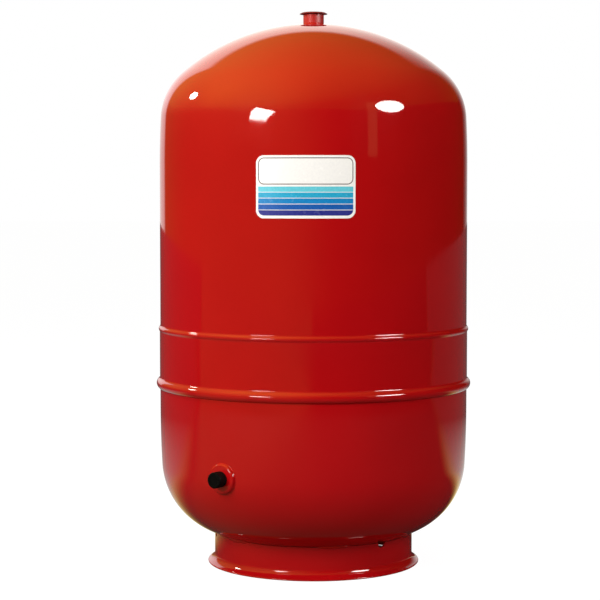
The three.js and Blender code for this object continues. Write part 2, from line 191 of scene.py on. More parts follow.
def turned_bmesh(profile, segments, shape=None):
    """A closed (r, z) profile turned about +Z. shape(r, z, angle) may change the radius."""
    bm = bmesh.new()
    rings = []
    for r, z in profile:
        ring = []
        for k in range(segments):
            angle = TURN * k / segments
            radius = shape(r, z, angle) if shape else r
            ring.append(bm.verts.new(around(radius, angle, z)))
        rings.append(ring)
    bridge(bm, rings + rings[:1])
    return bm


def turned(name, profile, material, segments=192, shape=None, sharp_degrees=35):
    return finish_mesh(name, turned_bmesh(profile, segments, shape), material, sharp_degrees)


def direction(azimuth, elevation):
    a, e = math.radians(azimuth), math.radians(elevation)
    return Vector((math.sin(a) * math.cos(e), -math.cos(a) * math.cos(e), math.sin(e)))


def outward_matrix(azimuth, height):
    """Takes +Z to a level radius at that azimuth, through a point on the vessel's axis."""
    turn = Matrix.Rotation(math.radians(azimuth), 4, "Z") @ Matrix.Rotation(math.radians(90), 4, "X")
    return Matrix.Translation((0, 0, height * MM)) @ turn


VALVE_MATRIX = outward_matrix(VALVE_AZIMUTH, VALVE_Z)


def place_outwards(piece):
    piece.data.transform(VALVE_MATRIX)
    return piece


def drill(name, radius, reach, azimuth, height):
    """A round cutter that points outwards, from reach[0] to reach[1] away from the vessel's axis."""
    cutter = turned(name, band(FINE_AXIS_R, radius, *reach), ENAMEL, 48)
    cutter.data.transform(outward_matrix(azimuth, height))
    return cutter


def cut(piece, cutter):
    """Subtracts a cutter from a piece, and removes the cutter."""
    modifier = piece.modifiers.new("cut", "BOOLEAN")
    modifier.object = cutter
    modifier.operation = "DIFFERENCE"
    modifier.solver = "EXACT"
    graph = bpy.context.evaluated_depsgraph_get()
    result = bpy.data.meshes.new_from_object(piece.evaluated_get(graph))
    piece.modifiers.clear()
    piece.data = result
    bpy.data.objects.remove(cutter)
    shade(result)
    return piece


def thread_wave(pitch, depth):
    """Depth of a thread at height z and an angle: a rounded triangle along a helix."""

    def wave(z, angle):
        phase = (z / pitch - angle / TURN) % 1.0
        ridge = 1 - abs(2 * phase - 1)
        return depth * min(1.0, max(0.0, ridge * 1.25 - 0.125))

    return wave


class DrawnEnd:
    """A drawn tank end: a long shoulder, a knuckle and a crown. side is 1 for the top end."""

    def __init__(self, side, body_r, start_z, shoulder_r, shoulder_turn, knuckle_r, crown_r):
        self.side, self.body_r, self.start_z = side, body_r, start_z
        self.shoulder_r, self.shoulder_turn = shoulder_r, shoulder_turn
        self.knuckle_r, self.crown_r = knuckle_r, crown_r
        turn = math.radians(shoulder_turn)
        self.knuckle_centre_r = body_r - shoulder_r + (shoulder_r - knuckle_r) * math.cos(turn)
        self.knuckle_centre_z = start_z + side * (shoulder_r - knuckle_r) * math.sin(turn)
        reach = crown_r - knuckle_r
        self.crown_centre_z = self.knuckle_centre_z - side * math.sqrt(reach**2 - self.knuckle_centre_r**2)
        self.junction = math.degrees(math.acos(self.knuckle_centre_r / reach))

    def shoulder(self, inset):
        centre_r = self.body_r - self.shoulder_r
        return arc(centre_r, self.start_z, self.shoulder_r - inset, 0, self.side * self.shoulder_turn, 8)

    def head(self, inset, hole_r):
        """The knuckle and the crown, from the shoulder's end to a hole or the axis."""
        turn, junction = self.side * self.shoulder_turn, self.side * self.junction
        hole = self.side * math.degrees(math.acos(hole_r / (self.crown_r - inset)))
        knuckle_radius = self.knuckle_r - inset
        knuckle = arc(self.knuckle_centre_r, self.knuckle_centre_z, knuckle_radius, turn, junction, 24)
        return knuckle + arc(0, self.crown_centre_z, self.crown_r - inset, junction, hole, 20)[1:]

    def outline(self, inset, hole_r):
        return self.shoulder(inset) + self.head(inset, hole_r)[1:]

    def crown_height(self, r):
        """Height of the outside at a distance from the axis, on the crown."""
        return self.crown_centre_z + self.side * math.sqrt(self.crown_r**2 - r**2)

    def wall_radius(self, z):
        """Distance of the outside from the axis at a height, on the wall, shoulder or knuckle."""
        along = max(0.0, self.side * (z - self.start_z))
        if along < self.shoulder_r * math.sin(math.radians(self.shoulder_turn)):
            return self.body_r - self.shoulder_r + math.sqrt(self.shoulder_r**2 - along**2)
        return self.knuckle_centre_r + math.sqrt(self.knuckle_r**2 - (z - self.knuckle_centre_z) ** 2)


TOP_END = DrawnEnd(1, TANK_R, 647.5, 1500.0, 3.0, 103.3, 326.6)
BOTTOM_END = DrawnEnd(-1, LOWER_R, 257.3, 1800.0, 3.0, 121.4, 400.0)


# ---------- material helpers


def srgb(red, green, blue):
    """Linear colour from 8-bit display values."""

    def linear(value):
        share = value / 255
        return share / 12.92 if share <= 0.04045 else ((share + 0.055) / 1.055) ** 2.4

    return (linear(red), linear(green), linear(blue), 1.0)


def set_range(node, low, high, low_value, high_value):
    """Sets the limits of a Map Range node."""
    limits = {"From Min": low, "From Max": high, "To Min": low_value, "To Max": high_value}
    for socket, value in limits.items():
        node.inputs[socket].default_value = value


class Finish:
    """A Principled material whose colour, roughness and bump come from procedural patterns."""

    def __init__(self, name, **sockets):
        self.material = bpy.data.materials.new(name)
        self.material.use_nodes = True
        self.nodes = self.material.node_tree.nodes
        self.links = self.material.node_tree.links
        self.shader = self.nodes["Principled BSDF"]
        for socket, value in sockets.items():
            self.shader.inputs[socket.replace("_", " ")].default_value = value
        self.coordinates = self.nodes.new("ShaderNodeTexCoord")
        self.bump_tail = None

    def noise(self, scale, detail=2.0, stretch=(1, 1, 1)):
        mapping = self.nodes.new("ShaderNodeMapping")
        mapping.inputs["Scale"].default_value = stretch
        self.links.new(self.coordinates.outputs["Object"], mapping.inputs["Vector"])
        texture = self.nodes.new("ShaderNodeTexNoise")
        texture.inputs["Scale"].default_value = scale
        texture.inputs["Detail"].default_value = detail
        self.links.new(mapping.outputs["Vector"], texture.inputs["Vector"])
        return texture.outputs["Fac"]

    def cells(self, scale):
        texture = self.nodes.new("ShaderNodeTexVoronoi")
        texture.inputs["Scale"].default_value = scale
        self.links.new(self.coordinates.outputs["Object"], texture.inputs["Vector"])
        return texture.outputs["Distance"]

    def ramp(self, source, low, high, low_value, high_value):
        node = self.nodes.new("ShaderNodeMapRange")
        set_range(node, low, high, low_value, high_value)
        self.links.new(source, node.inputs["Value"])
        return node.outputs["Result"]

    def colour(self, source, first, second, low=0.35, high=0.65):
        node = self.nodes.new("ShaderNodeValToRGB")
        node.color_ramp.elements[0].position = low
        node.color_ramp.elements[0].color = first
        node.color_ramp.elements[1].position = high
        node.color_ramp.elements[1].color = second
        self.links.new(source, node.inputs["Fac"])
        self.links.new(node.outputs["Color"], self.shader.inputs["Base Color"])
        return self

    def roughness(self, source, low_value, high_value):
        self.links.new(self.ramp(source, 0.3, 0.7, low_value, high_value), self.shader.inputs["Roughness"])
        return self

    def bump(self, source, strength, distance):
        node = self.nodes.new("ShaderNodeBump")
        node.inputs["Strength"].default_value = strength
        node.inputs["Distance"].default_value = distance
        self.links.new(source, node.inputs["Height"])
        if self.bump_tail:
            self.links.new(self.bump_tail, node.inputs["Normal"])
        self.bump_tail = node.outputs["Normal"]
        self.links.new(self.bump_tail, self.shader.inputs["Normal"])
        return self


def red_enamel(name, rough_low, rough_high):
    finish = Finish(name, IOR=1.5)
    finish.colour(finish.noise(7, 3), srgb(169, 8, 14), srgb(174, 10, 15))
    finish.roughness(finish.noise(35, 2), rough_low, rough_high)
    finish.bump(finish.noise(190, 1.5), 0.04, 0.0002)
    finish.bump(finish.noise(9, 1), 0.03, 0.002)
    return finish.material


def weld_enamel():
    finish = Finish("weld_enamel", IOR=1.5)
    finish.colour(finish.noise(60, 3), srgb(172, 20, 18), srgb(188, 26, 22))
    finish.roughness(finish.noise(120, 2), 0.12, 0.22)
    finish.bump(finish.noise(420, 2), 0.4, 0.0006)
    return finish.material


def moulded_rubber(name, first, second):
    finish = Finish(name, Specular_IOR_Level=0.35)
    finish.colour(finish.noise(40, 4), first, second)
    finish.roughness(finish.noise(160, 3), 0.62, 0.8)
    finish.bump(finish.noise(900, 3), 0.35, 0.0002)
    return finish.material


def moulded_plastic(name, first, second, rough_low, rough_high, gloss):
    finish = Finish(name, IOR=1.48, Specular_IOR_Level=gloss)
    finish.colour(finish.noise(120, 3), first, second)
    finish.roughness(finish.noise(300, 3), rough_low, rough_high)
    finish.bump(finish.cells(2600), 0.25, 0.00008)
    return finish.material


def turned_brass():
    finish = Finish("turned_brass", Metallic=1.0)
    finish.colour(finish.noise(250, 3), srgb(188, 146, 78), srgb(214, 176, 104))
    finish.roughness(finish.noise(900, 2), 0.2, 0.34)
    finish.bump(finish.noise(2600, 2), 0.2, 0.00005)
    return finish.material


def rolled_steel():
    finish = Finish("rolled_steel", Metallic=1.0)
    finish.colour(finish.noise(60, 4, (1, 1, 12)), srgb(140, 142, 145), srgb(176, 178, 180))
    finish.roughness(finish.noise(500, 2, (1, 1, 30)), 0.28, 0.45)
    finish.bump(finish.noise(1200, 2, (1, 1, 20)), 0.2, 0.0001)
    return finish.material


def printed(name, first, second, rough=0.2):
    finish = Finish(name, IOR=1.5)
    finish.colour(finish.noise(300, 2), first, second)
    finish.roughness(finish.noise(90, 2), rough, rough + 0.08)
    finish.bump(finish.noise(700, 2), 0.02, 0.0001)
    return finish.material


def metallised_foil():
    finish = Finish("metallised_foil", Metallic=0.85)
    finish.colour(finish.noise(400, 3, (1, 1, 8)), srgb(176, 178, 181), srgb(205, 207, 209))
    finish.roughness(finish.noise(800, 2, (1, 1, 10)), 0.24, 0.38)
    finish.bump(finish.noise(350, 2), 0.08, 0.0001)
    return finish.material


ENAMEL = red_enamel("red_enamel", 0.03, 0.05)
SOCKET_ENAMEL = red_enamel("socket_enamel", 0.42, 0.5)
WELD = weld_enamel()
MEMBRANE = moulded_rubber("membrane_rubber", srgb(24, 24, 25), srgb(34, 34, 35))
SEAL = moulded_rubber("seal_rubber", srgb(20, 20, 21), srgb(28, 28, 29))
CAP_PLASTIC = moulded_plastic("cap_plastic", srgb(4, 4, 5), srgb(8, 8, 9), 0.45, 0.55, 0.08)
PLUG_PLASTIC = moulded_plastic("plug_plastic", srgb(114, 22, 26), srgb(126, 26, 30), 0.45, 0.55, 0.2)
BRASS = turned_brass()
STEEL = rolled_steel()
FILM = printed("white_film", srgb(243, 242, 242), srgb(247, 246, 245))
OUTLINE_INK = printed("outline_ink", srgb(64, 34, 40), srgb(74, 40, 46))
FOIL = metallised_foil()
GREY_INK = printed("grey_ink", srgb(52, 53, 56), srgb(62, 63, 66), 0.35)
STRIPE_COLOURS = [(40, 44, 130), (20, 84, 168), (14, 124, 190), (34, 160, 202), (96, 196, 214)]
STRIPE_INKS = [
    printed(f"stripe_ink_{i + 1}", srgb(*colour), srgb(*(min(255, value + 8) for value in colour)))
    for i, colour in enumerate(STRIPE_COLOURS)
]


def settle(piece, body, slot, *nodes):
    """Parents a finished piece to its body's empty and hides the CAD nodes that it stands for."""
    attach(piece, body)
    if nodes:
        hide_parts(*nodes)
    return piece


# ---------- steel shells


def bead_outline(bead, inset, wall_below, wall_above):
    """A rolled bead with fillets to the wall above it and, unless it is a hem, to the wall below."""
    radius, fillet = bead["radius"] - inset, bead["fillet"] + inset

    def tangent(wall_r, side):
        across = wall_r - inset + fillet - bead["r"]
        along = math.sqrt((radius + fillet) ** 2 - across**2)
        return math.degrees(math.atan2(along, across)), bead["z"] + side * along, wall_r - inset + fillet

    high, high_z, high_r = tangent(wall_above, 1)
    top = arc(high_r, high_z, fillet, high + 180, 180, 6)
    if wall_below is None:
        return arc(bead["r"], bead["z"], radius, HEM_EDGE, high, 20) + top[1:]
    low, low_z, low_r = tangent(wall_below, -1)
    bottom = arc(low_r, low_z, fillet, 180, 180 - low, 6)
    return bottom + arc(bead["r"], bead["z"], radius, -low, high, 14)[1:] + top[1:]


def upper_shell_face(inset):
    return (
        bead_outline(HEM_BEAD, inset, None, BAND_R)
        + bead_outline(CLAMP_BEAD, inset, BAND_R, TANK_R)
        + TOP_END.outline(inset, SOCKET_R + 0.3)
    )


def upper_shell():
    edge_angle = math.radians(HEM_EDGE)
    middle = HEM_BEAD["radius"] - SHEET / 2
    edge_r = HEM_BEAD["r"] + middle * math.cos(edge_angle)
    edge_z = HEM_BEAD["z"] + middle * math.sin(edge_angle)
    edge = arc(edge_r, edge_z, SHEET / 2, HEM_EDGE - 180, HEM_EDGE, 6)
    profile = edge[:-1] + upper_shell_face(0) + upper_shell_face(SHEET)[::-1][:-1]
    return settle(turned("upper_shell_skin", profile, ENAMEL, 256), "vessel", "red_paint", "upper_shell")


COLLAR_R = 248.6
COLLAR_TOP_Z = 372.0
COLLAR_BOTTOM_Z = 297.0
JOGGLE_BOTTOM_Z = 291.0
NECK_HOLE_R = 15.0
NECK_CUT = (200.0, 300.0)


def lower_shell_face(inset):
    joggle = [(COLLAR_R - inset, COLLAR_TOP_Z), (COLLAR_R - inset, COLLAR_BOTTOM_Z + 1)]
    for i in range(1, 8):
        t = i / 8
        ease = t * t * (3 - 2 * t)
        radius = COLLAR_R + (LOWER_R - COLLAR_R) * ease - inset
        joggle.append((radius, COLLAR_BOTTOM_Z + 1 - (COLLAR_BOTTOM_Z - JOGGLE_BOTTOM_Z + 1) * t))
    return joggle + [(LOWER_R - inset, JOGGLE_BOTTOM_Z)] + BOTTOM_END.outline(inset, AXIS_R)


def lower_shell():
    profile = lower_shell_face(0)[::-1] + lower_shell_face(SHEET)
    shell = turned("lower_shell_skin", profile, ENAMEL, 256)
    neck_hole = drill("neck_hole", NECK_HOLE_R, NECK_CUT, VALVE_AZIMUTH, VALVE_Z)
    return settle(cut(shell, neck_hole), "vessel", "red_paint", "lower_shell")


upper_shell()
lower_shell()

# ---------- diaphragm and clamp ring

RUBBER = 2.5
DIAPHRAGM_R = 244.0
BEAD_RUBBER_R = 4.8
CLAMP_RING_WALL = 3


def diaphragm_crown():
    outer = TANK_R - DIAPHRAGM_R
    profile = TOP_END.head(outer, AXIS_R)[::-1] + TOP_END.head(outer + RUBBER, AXIS_R)
    crown = turned("diaphragm_dome", profile[::-1], MEMBRANE, 128)
    return settle(crown, "diaphragm", "membrane_rubber", "diaphragm_crown")


def diaphragm_wall():
    low, high = node_box("diaphragm_wall")
    z = CLAMP_BEAD["z"]
    inner, outer = DIAPHRAGM_R - RUBBER, DIAPHRAGM_R
    outer_shoulder = [(r, height) for r, height in TOP_END.shoulder(TANK_R - outer) if height < high.z]
    inner_shoulder = [(r, height) for r, height in TOP_END.shoulder(TANK_R - inner) if height < high.z]
    outline = [(inner, low.z), (outer, low.z)]
    outline += arc(outer, z, BEAD_RUBBER_R, -90, 90, 14)
    outline += line(outline[-1], outer_shoulder[0], 40) + outer_shoulder[1:]
    outline += [(outer_shoulder[-1][0], high.z), (inner_shoulder[-1][0], high.z)]
    outline += inner_shoulder[::-1]
    outline += line(inner_shoulder[0], (inner, low.z), 44)[:-1]
    wall = turned("diaphragm_sleeve", outline, MEMBRANE, 128)
    settle(wall, "vessel", "membrane_rubber", "diaphragm_wall")
    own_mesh(wall)
    return wall


def clamp_ring():
    low, high = node_box("clamp_ring")
    outline = band(high.x - CLAMP_RING_WALL, high.x, low.z, high.z)
    ring = turned("clamping_hoop", rounded(outline, 0.8), STEEL, 192)
    return settle(ring, "vessel", "bare_steel", "clamp_ring")


diaphragm_crown()
diaphragm_wall()
clamp_ring()

# ---------- water socket and plug


def connection_socket():
    low, high = SOCKET_LOW.z, SOCKET_HIGH.z
    chamfer = 1.1
    wave = thread_wave(**THREAD_G34)
    steps = int((high - low) / THREAD_G34["pitch"] * 8)

    def shape(r, z, angle):
        if not same(r, SOCKET_BORE_R) or not low + 1.5 < z < high - 1.5:
            return r
        return r + wave(z, angle)

    bore = line((SOCKET_BORE_R, high - chamfer), (SOCKET_BORE_R, low + 0.4), steps)
    outline = [(SOCKET_BORE_R + 0.4, low), (SOCKET_R - 0.4, low), (SOCKET_R, low + 0.4)]
    outline += arc(SOCKET_R - 0.7, high - 0.7, 0.7, 0, 90, 6)
    outline += [(SOCKET_BORE_R + chamfer, high), (SOCKET_BORE_R, high - chamfer)] + bore
    socket = turned("threaded_socket", outline, SOCKET_ENAMEL, 96, shape)
    settle(socket, "vessel", "red_paint", "connection_socket")


def socket_weld():
    """The fillet weld round the foot of the socket, with its ripples under the paint."""
    leg = 1.8
    foot = TOP_END.crown_height(SOCKET_R + leg)

    def shape(r, z, angle):
        ripple = 0.12 * math.sin(angle * 46) + 0.08 * math.sin(angle * 7)
        return r + (ripple if r > SOCKET_R + 0.5 else 0)

    outline = [(SOCKET_R + 0.02, foot - 1.5), (SOCKET_R + leg, foot - 0.3)]
    outline += arc(SOCKET_R + leg * 1.35, foot + leg * 1.05, leg * 1.2, 250, 190, 8)
    outline += [(SOCKET_R + 0.02, foot + leg * 0.9)]
    settle(turned("socket_weld", outline, WELD, 184, shape), "vessel", "red_paint")


def transport_plug():
    low, high = PLUG_LOW.z, PLUG_HIGH.z
    rim = SOCKET_HIGH.z
    brim_r = PLUG_HIGH.x
    neck_r = SOCKET_BORE_R - 0.35
    toe_r = neck_r - 0.9
    wall = 1.8
    outline = [(AXIS_R, low), (toe_r - 1, low), (toe_r, low + 1), (neck_r, rim), (neck_r, rim + 2.15)]
    outline += [(SOCKET_R + 0.6, rim + 2.15), (brim_r - 0.9, rim + 0.45)]
    outline += arc(brim_r - 0.45, rim + 0.85, 0.42, -110, 60, 6)
    outline += [(SOCKET_R + 1.6, high - 0.25), (SOCKET_R + 0.6, high), (SOCKET_R - 2.0, high)]
    outline += [(SOCKET_R - 2.4, high - 0.35), (neck_r - wall + 0.4, high - 0.35)]
    outline += [(neck_r - wall, high - 0.8), (toe_r - wall, low + wall + 0.5)]
    outline += [(toe_r - wall - 0.5, low + wall), (AXIS_R, low + wall)]
    plug = turned("transport_plug_moulding", outline, PLUG_PLASTIC, 96)
    settle(plug, "plug", "plug_plastic", "transport_plug")
    rib_width, rib_height = 1.1, 9.0
    for k in range(4):
        rib = bmesh.new()
        bmesh.ops.create_cube(rib, size=1.0)
        length = toe_r - wall + 0.2
        bmesh.ops.scale(rib, verts=rib.verts, vec=Vector((length, rib_width, rib_height)) * MM)
        bmesh.ops.bevel(rib, geom=rib.edges[:], offset=0.3 * MM, segments=2, affect="EDGES")
        bmesh.ops.translate(rib, verts=rib.verts, vec=Vector((length / 2, 0, low + wall + 4.4)) * MM)
        bmesh.ops.rotate(rib, verts=rib.verts, matrix=Matrix.Rotation(TURN * k / 4, 3, "Z"))
        settle(finish_mesh(f"plug_rib_{k + 1}", rib, PLUG_PLASTIC), "plug", "plug_plastic")


connection_socket()
socket_weld()
transport_plug()

# ---------- base ring

SKIRT_R = 162.0
SKIRT_WALL = 3.0
FLARE_R = 14.0
FLARE_END = 253.0  # degrees round the flare's section, where the lip begins
FOOT_FLAT = 3.0
VENT_R = 7.5
VENT_AZIMUTHS = (41.9, 161.9, -78.1)
VENT_CUT = (140.0, 180.0)
SKIRT_GAP = 0.4
INNER_FLARE_SHORT = 13  # degrees by which the flare's inner face stops short of the lip
WELD_COUNT = 6
WELD_FIRST = 11.5  # azimuth of the first weld's middle, in degrees
WELD_HALF = 9  # half of a weld's length, in degrees
WELD_LEG = 2.3


def base_ring():
    """A rolled ring whose foot flares outwards and stands on the flat underside of its rounded lip."""
    inner = SKIRT_R - SKIRT_WALL
    lip = SKIRT_WALL / 2
    end = math.radians(FLARE_END)
    flare_r = SKIRT_R + FLARE_R
    lip_r = flare_r + (FLARE_R + lip) * math.cos(end)
    flare_z = lip - (FLARE_R + lip) * math.sin(end)
    top = BOTTOM_END.crown_height
    outline = [(inner, top(inner) - SKIRT_GAP)]
    outline += line(outline[-1], (inner, flare_z), 8)
    outline += arc(flare_r, flare_z, FLARE_R + SKIRT_WALL, 180, FLARE_END - INNER_FLARE_SHORT, 14)[1:]
    outline += [(lip_r - FOOT_FLAT - 0.3, 0.12), (lip_r - FOOT_FLAT + 0.2, 0.0)]
    outline += arc(lip_r, lip, lip, -90, FLARE_END - 180, 12)
    outline += arc(flare_r, flare_z, FLARE_R, FLARE_END, 180, 18)[1:]
    outline += line((SKIRT_R, flare_z), (SKIRT_R, top(SKIRT_R) - SKIRT_GAP), 8)
    ring = turned("base_ring_skirt", outline, ENAMEL, 256)
    for azimuth in VENT_AZIMUTHS:
        cut(ring, drill("vent", VENT_R, VENT_CUT, azimuth, top(SKIRT_R) - SKIRT_GAP))
    settle(ring, "vessel", "red_paint", "base_ring")


def skirt_welds():
    """Six short fillet welds that join the base ring to the tank."""
    for k in range(WELD_COUNT):
        centre = math.radians(WELD_FIRST + 360 / WELD_COUNT * k)
        half = math.radians(WELD_HALF)
        bm = bmesh.new()
        rows = []
        steps = 28
        for i in range(steps + 1):
            t = i / steps
            angle = centre + half * (2 * t - 1)
            size = WELD_LEG * min(1.0, math.sin(math.pi * t) * 2.2 + 0.02)
            size += 0.12 * math.sin(i * 2.6) * min(1.0, size)
            base_z = BOTTOM_END.crown_height(SKIRT_R)
            section = [
                (SKIRT_R - 0.6, base_z + 0.1),
                (SKIRT_R + size, BOTTOM_END.crown_height(SKIRT_R + size) + 0.05),
                (SKIRT_R + 0.45 * size, base_z - 0.35 * size),
                (SKIRT_R + 0.02, base_z - size - 0.2),
                (SKIRT_R - 0.6, base_z - size - 0.2),
            ]
            rows.append([bm.verts.new(around(r, angle, z)) for r, z in section])
        bridge(bm, rows)
        bm.faces.new(rows[0])
        bm.faces.new(rows[-1][::-1])
        settle(finish_mesh(f"skirt_weld_{k + 1}", bm, WELD, 60), "vessel", "red_paint")


base_ring()
skirt_welds()

# ---------- air valve

BOSS_R = 23.7
BOSS_FACE = 253.0
BOSS_BACK = 239.0
BOSS_BORE_R = 6.0
BOSS_EDGE_R = 4.0
BOSS_NECK_R = 14.7
STEM_R = 3.85
STEM_END = 266.0
STEM_ROOT = 237.0
STEM_BORE_R = 2.75
HEX_FLATS = 16.0
HEX_BEVEL_R = HEX_FLATS / 2  # marks the hexagon's bevelled ends in the stem's outline
HEX_SIDE_R = HEX_BEVEL_R + 0.01  # marks its full section
GASKET_BACK = BOSS_FACE + 0.3
HEX_BACK = GASKET_BACK + 1.5
HEX_FRONT = HEX_BACK + 3.0
CAP_END = 270.0
CAP_WALL = 1.6


def tank_distance(x, y):
    """How far out the lower shell's outside is, at local offsets right and up from the valve's axis."""
    return math.sqrt(BOTTOM_END.wall_radius(VALVE_Z + y) ** 2 - x**2)


def valve_boss():
    """The pad. A level up to 1 is a share of the way from its edge down to the tank."""
    segments = 96
    levels = [(BOSS_BORE_R, BOSS_FACE - 0.6), (BOSS_BORE_R + 0.6, BOSS_FACE), (11.4, BOSS_FACE)]
    levels += [(16.0, BOSS_FACE)]
    levels += arc(BOSS_R - BOSS_EDGE_R, BOSS_FACE - BOSS_EDGE_R, BOSS_EDGE_R, 90, 14, 8)
    levels += [(BOSS_R, 0.42), (BOSS_R + 0.25, 0.72), (BOSS_R + 0.7, 0.9), (BOSS_R + 1.5, 1.0)]
    levels += [(BOSS_R + 1.2, "under"), (BOSS_NECK_R, "under")]
    levels += [(BOSS_NECK_R, BOSS_BACK), (BOSS_BORE_R, BOSS_BACK)]
    bm = bmesh.new()
    rings = []
    for r, level in levels:
        ring = []
        for k in range(segments):
            angle = TURN * k / segments
            x, y = r * math.cos(angle), r * math.sin(angle)
            surface = tank_distance(x, y) + 0.03
            if level == "under":
                height = surface - 1.2
            elif level <= 1.0:
                height = (BOSS_FACE - 3.0) * (1 - level) + surface * level
            else:
                height = max(level, surface)
            ring.append(bm.verts.new((x * MM, y * MM, height * MM)))
        rings.append(ring)
    bridge(bm, rings + rings[:1])
    boss = place_outwards(finish_mesh("valve_pad", bm, ENAMEL, 50))
    settle(boss, "vessel", "red_paint", "valve_boss")


def hex_radius(angle, flats):
    """Distance from the axis to a hexagon's side at an angle."""
    turn = (angle % (math.pi / 3)) - math.pi / 6
    return flats / 2 / math.cos(turn)


def stem_profile():
    floor = STEM_END - 12
    steps = int((STEM_END - 1 - HEX_FRONT) / THREAD_8V1["pitch"] * 8)
    outline = [(1.7, STEM_ROOT), (BOSS_BORE_R - 0.6, STEM_ROOT), (BOSS_BORE_R - 0.4, STEM_ROOT + 0.4)]
    outline += [(BOSS_BORE_R - 0.4, HEX_BACK)]
    outline += [(HEX_BEVEL_R, HEX_BACK), (HEX_SIDE_R, HEX_BACK + 0.4)]
    outline += [(HEX_SIDE_R, HEX_FRONT - 0.5), (HEX_BEVEL_R, HEX_FRONT), (STEM_R + 0.3, HEX_FRONT)]
    outline += [(STEM_R, HEX_FRONT + 0.3)]
    outline += line((STEM_R, HEX_FRONT + 0.3), (STEM_R, STEM_END - 0.5), steps)
    outline += [(STEM_R - 0.5, STEM_END), (STEM_BORE_R + 0.3, STEM_END), (STEM_BORE_R, STEM_END - 0.3)]
    outline += [(STEM_BORE_R, floor), (1.7, floor - 1)]
    return outline


def valve_stem():
    wave = thread_wave(**THREAD_8V1)

    def shape(r, z, angle):
        if same(r, HEX_SIDE_R):
            return hex_radius(angle, HEX_FLATS)
        if same(r, HEX_BEVEL_R):
            return min(hex_radius(angle, HEX_FLATS) - 0.35, HEX_FLATS / 2 + 0.5)
        if same(r, STEM_R) and HEX_FRONT + 0.6 < z < STEM_END - 0.6:
            return r - wave(z, angle)
        return r

    stem = place_outwards(turned("valve_stem_brass", stem_profile(), BRASS, 72, shape))
    settle(stem, "vessel", "valve_brass", "valve_stem")


def small_ring(name, outline, material, body, slot, node, segments=48):
    ring = place_outwards(turned(name, rounded(outline, 0.15, 2), material, segments))
    settle(ring, body, slot, node)


def stem_gasket():
    outline = band(BOSS_BORE_R + 0.3, HEX_FLATS / 2 + 1, GASKET_BACK, GASKET_BACK + 1.2)
    small_ring("stem_gasket_ring", outline, SEAL, "vessel", "seal_rubber", "stem_gasket")


CORE_TOP = STEM_END - 0.8
CORE_BOTTOM = CORE_TOP - 7.8
CORE_SHOULDER = CORE_TOP - 3.6
CORE_HEAD_R = 2.5
CORE_BARREL_R = 1.95
SPRING_SEAT = CORE_TOP - 6.2
SPRING_TOP = CORE_TOP - 0.9
SPRING_R = 1.12
SPRING_WIRE_R = 0.16
SPRING_TURNS = 6
PIN_R = 0.5
PIN_COLLAR_R = 1.35
PIN_CUP_R = 1.5
CUP_TOP = CORE_BOTTOM - 1.1


def valve_core():
    barrel = [(PIN_R + 0.25, CORE_BOTTOM), (CORE_BARREL_R, CORE_BOTTOM), (CORE_BARREL_R, CORE_SHOULDER)]
    barrel += [(CORE_HEAD_R, CORE_SHOULDER + 0.3), (CORE_HEAD_R, CORE_TOP), (PIN_COLLAR_R + 0.2, CORE_TOP)]
    barrel += [(PIN_COLLAR_R + 0.2, SPRING_SEAT), (PIN_R + 0.25, SPRING_SEAT)]
    small_ring("core_barrel", barrel, BRASS, "vessel", "valve_brass", "valve_core_barrel")
    seal = [(CORE_BARREL_R + 0.12, CORE_BOTTOM + 1.6), (STEM_BORE_R - 0.15, CORE_BOTTOM + 1.9)]
    seal += [(STEM_BORE_R - 0.15, CORE_SHOULDER - 0.9), (CORE_BARREL_R + 0.12, CORE_SHOULDER - 0.5)]
    small_ring("core_seal", seal, SEAL, "vessel", "seal_rubber", "valve_core_seal")
    collar_low, collar_high = SPRING_TOP + 0.15, SPRING_TOP + 0.55
    pin = [(FINE_AXIS_R, CUP_TOP - 2.6), (PIN_R, CUP_TOP - 2.4), (PIN_R, CUP_TOP - 0.7)]
    pin += [(PIN_CUP_R, CUP_TOP - 0.7), (PIN_CUP_R, CUP_TOP), (PIN_R, CUP_TOP)]
    pin += [(PIN_R, collar_low), (PIN_COLLAR_R, collar_low)]
    pin += [(PIN_COLLAR_R, collar_high), (PIN_R, collar_high)]
    pin += [(PIN_R, STEM_END - 0.3), (FINE_AXIS_R, STEM_END - 0.1)]
    small_ring("core_pin", pin, BRASS, "core_pin", "valve_brass", "valve_core_pin", 32)
    washer = [(PIN_R + 0.12, CUP_TOP + 0.12), (PIN_CUP_R + 0.2, CUP_TOP + 0.12)]
    washer += [(PIN_CUP_R + 0.2, CORE_BOTTOM - 0.35), (PIN_R + 0.45, CORE_BOTTOM - 0.12)]
    washer += [(PIN_R + 0.12, CORE_BOTTOM - 0.12)]
    small_ring("core_washer", washer, SEAL, "core_pin", "seal_rubber", "valve_core_washer", 32)


def core_spring():
    low, high = SPRING_SEAT + SPRING_WIRE_R + 0.1, SPRING_TOP - SPRING_WIRE_R
    steps = 24 * SPRING_TURNS
    sides = 8
    bm = bmesh.new()
    rings = []
    for i in range(steps + 1):
        t = i / steps
        angle = TURN * SPRING_TURNS * t
        out = Vector((math.cos(angle), math.sin(angle), 0))
        centre = out * SPRING_R + Vector((0, 0, low + (high - low) * t))
        ring = []
        for k in range(sides):
            a = TURN * k / sides
            point = centre + (out * math.cos(a) + Vector((0, 0, 1)) * math.sin(a)) * SPRING_WIRE_R
            ring.append(bm.verts.new(point * MM))
        rings.append(ring)
    bridge(bm, rings)
    bm.faces.new(rings[0])
    bm.faces.new(rings[-1][::-1])
    spring = place_outwards(finish_mesh("core_spring", bm, STEEL, 60))
    settle(spring, "vessel", "bare_steel", "valve_core_spring")
    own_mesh(spring)


